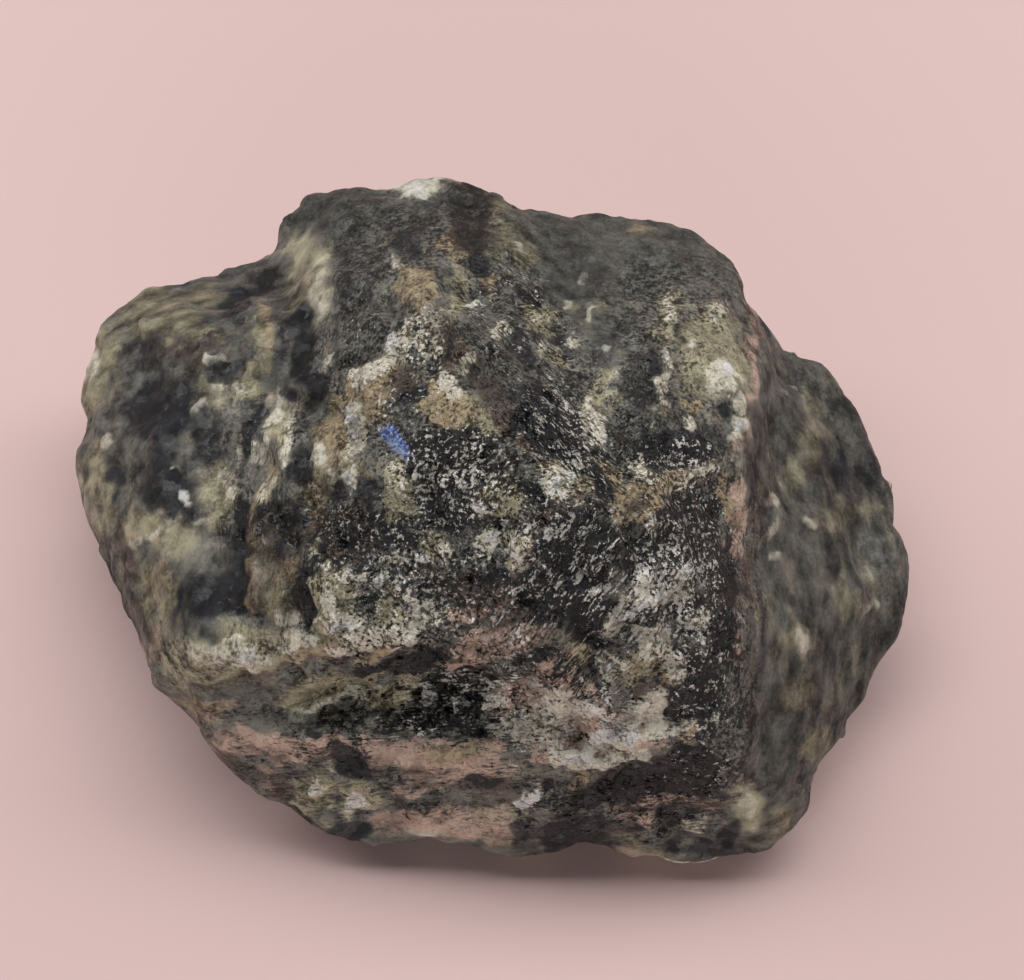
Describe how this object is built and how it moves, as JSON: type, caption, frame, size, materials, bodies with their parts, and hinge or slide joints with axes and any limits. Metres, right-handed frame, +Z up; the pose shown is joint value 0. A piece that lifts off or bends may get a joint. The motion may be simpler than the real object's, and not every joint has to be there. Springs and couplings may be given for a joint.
{
  "type": "rough labradorite chunk",
  "caption": "Rough, broken chunk of labradorite: a low lopsided stone with ledges, a long ridge and a flat cleavage face to rest on.",
  "frame": {"origin": "centre of the bounding box in plan, at the level of the flat cleavage face the stone rests on", "axes": "+Z up, away from the resting face; +X along the longest way of the stone; -Y is the broken front wall with the ledge and crevice"},
  "size_m": [0.094, 0.076, 0.042],
  "materials": {
    "labradorite_rough": "broken natural surface, dark grey-green with cream and pink-brown patches, dull with small glassy glints"
  },
  "bodies": {
    "root": {"labradorite_chunk": "labradorite_rough"}
  },
  "joints": []
}
